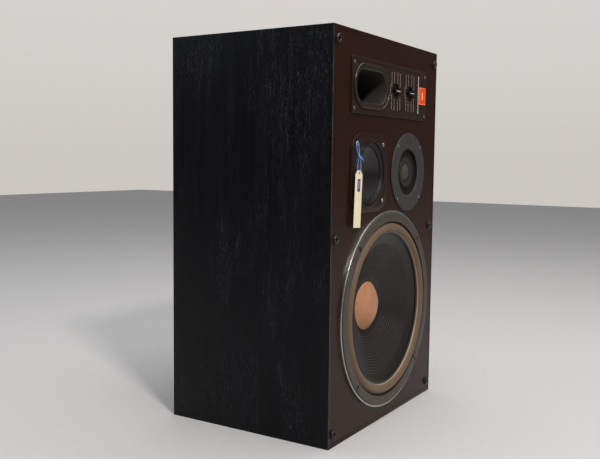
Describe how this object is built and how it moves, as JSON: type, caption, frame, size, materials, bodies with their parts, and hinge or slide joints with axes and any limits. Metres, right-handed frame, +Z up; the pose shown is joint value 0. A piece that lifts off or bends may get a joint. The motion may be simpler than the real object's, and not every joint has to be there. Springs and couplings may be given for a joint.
{
  "type": "floorstanding loudspeaker",
  "caption": "Three-way floorstanding loudspeaker: black veneered box with a large ribbed bass cone, a cone midrange, a small tweeter, a bass port and level knobs.",
  "frame": {"origin": "on the floor, under the middle of the object's box", "axes": "+Z up, the front baffle faces -Y, +X to the right as seen from the front"},
  "size_m": [0.457, 0.3725, 0.75],
  "materials": {
    "veneer": "black-stained open-grain veneer, satin",
    "back_board": "black-painted particle board, matt",
    "baffle_paint": "very dark brown satin paint",
    "black_plastic": "moulded, satin",
    "driver_iron": "zinc-grey, satin, bright edge",
    "ferrite": "sintered, matt",
    "gasket_grey": "pressed fibre, matt",
    "surround_tan": "coated cloth half roll, matt",
    "cone_paper": "pressed black paper, ribbed",
    "dust_cap_paper": "brown pressed paper, fibrous",
    "spider_cloth": "varnished corrugated cloth",
    "coil_copper": "enamelled wire",
    "mid_fold": "doped cloth folds, half gloss",
    "mid_flange_black": "satin black paint",
    "tweeter_grey": "fine matt grey",
    "tweeter_pale": "pale pressed paper",
    "screw_steel": "bright zinc",
    "plate_dark": "satin dark brown-grey",
    "knob_black": "half gloss",
    "badge_orange": "plain enamel orange",
    "red_plastic": "moulded, satin",
    "board_green": "circuit board with potted parts",
    "card_cream": "matt card",
    "string_blue": "soft twisted string"
  },
  "bodies": {
    "cabinet": {"side_panel_left": "veneer", "side_panel_right": "veneer", "top_panel": "veneer", "bottom_panel": "veneer", "back_panel": "back_board", "front_baffle": "baffle_paint", "grille_socket_upper_left": "black_plastic", "grille_socket_upper_right": "black_plastic", "grille_socket_middle_left": "black_plastic", "grille_socket_middle_right": "black_plastic", "grille_socket_lower_left": "black_plastic", "grille_socket_lower_right": "black_plastic", "woofer_frame": "driver_iron", "woofer_gasket": "gasket_grey", "woofer_surround": "surround_tan", "woofer_spider": "spider_cloth", "woofer_top_plate": "driver_iron", "woofer_magnet": "ferrite", "woofer_pole_yoke": "driver_iron", "woofer_screw_upper_right": "screw_steel", "woofer_screw_upper_left": "screw_steel", "woofer_screw_lower_left": "screw_steel", "woofer_screw_lower_right": "screw_steel", "mid_frame": "mid_flange_black", "mid_surround": "mid_fold", "mid_magnet": "driver_iron", "mid_enclosure": "black_plastic", "mid_screw_upper_right": "screw_steel", "mid_screw_upper_left": "screw_steel", "mid_screw_lower_left": "screw_steel", "mid_screw_lower_right": "screw_steel", "tweeter_faceplate": "tweeter_grey", "tweeter_magnet": "driver_iron", "tweeter_screw_upper_right": "screw_steel", "tweeter_screw_upper_left": "screw_steel", "tweeter_screw_lower_left": "screw_steel", "tweeter_screw_lower_right": "screw_steel", "control_plate": "plate_dark", "port_tube": "plate_dark", "mid_level_control": "driver_iron", "high_level_control": "driver_iron", "badge": "badge_orange", "plate_screw_upper_right": "screw_steel", "plate_screw_upper_left": "screw_steel", "plate_screw_lower_left": "screw_steel", "plate_screw_lower_right": "screw_steel", "terminal_cup": "black_plastic", "crossover_board": "board_green"},
    "woofer_moving": {"woofer_cone": "cone_paper", "woofer_dust_cap": "dust_cap_paper", "woofer_voice_coil": "coil_copper"},
    "mid_moving": {"mid_cone": "cone_paper", "mid_voice_coil": "coil_copper"},
    "tweeter_moving": {"tweeter_cone": "tweeter_pale"},
    "mid_knob": {"mid_level_knob": "knob_black"},
    "high_knob": {"high_level_knob": "knob_black"},
    "lever_red": {"terminal_lever_red": "red_plastic"},
    "lever_black": {"terminal_lever_black": "black_plastic"},
    "tag": {"hang_tag": "card_cream", "tag_string": "string_blue"}
  },
  "joints": [
    {"name": "woofer_stroke", "type": "slide", "parent": "cabinet", "child": "woofer_moving", "axis": [0, -1, 0], "range_m": [-0.006, 0.006], "stiffness_N_per_m": 2800, "deforming": ["woofer_surround", "woofer_spider"]},
    {"name": "mid_stroke", "type": "slide", "parent": "cabinet", "child": "mid_moving", "axis": [0, -1, 0], "range_m": [-0.0015, 0.0015], "stiffness_N_per_m": 1800, "deforming": ["mid_surround"]},
    {"name": "tweeter_stroke", "type": "slide", "parent": "cabinet", "child": "tweeter_moving", "axis": [0, -1, 0], "range_m": [-0.0003, 0.0003], "stiffness_N_per_m": 2000},
    {"name": "mid_level_turn", "type": "hinge", "parent": "cabinet", "child": "mid_knob", "pos_m": [0.016, -0.1754, 0.653], "axis": [0, -1, 0], "range_deg": [-150, 150]},
    {"name": "high_level_turn", "type": "hinge", "parent": "cabinet", "child": "high_knob", "pos_m": [0.0823, -0.1754, 0.653], "axis": [0, -1, 0], "range_deg": [-150, 150]},
    {"name": "lever_red_press", "type": "hinge", "parent": "cabinet", "child": "lever_red", "pos_m": [0.019, 0.1736, 0.136], "axis": [1, 0, 0], "range_deg": [-10, 0], "stiffness_Nm_per_rad": 0.08},
    {"name": "lever_black_press", "type": "hinge", "parent": "cabinet", "child": "lever_black", "pos_m": [-0.019, 0.1736, 0.136], "axis": [1, 0, 0], "range_deg": [-10, 0], "stiffness_Nm_per_rad": 0.08},
    {"name": "tag_swing", "type": "hinge", "parent": "cabinet", "child": "tag", "pos_m": [-0.14305, -0.1754, 0.54685], "axis": [0, -1, 0], "range_deg": [-15, 15]}
  ]
}
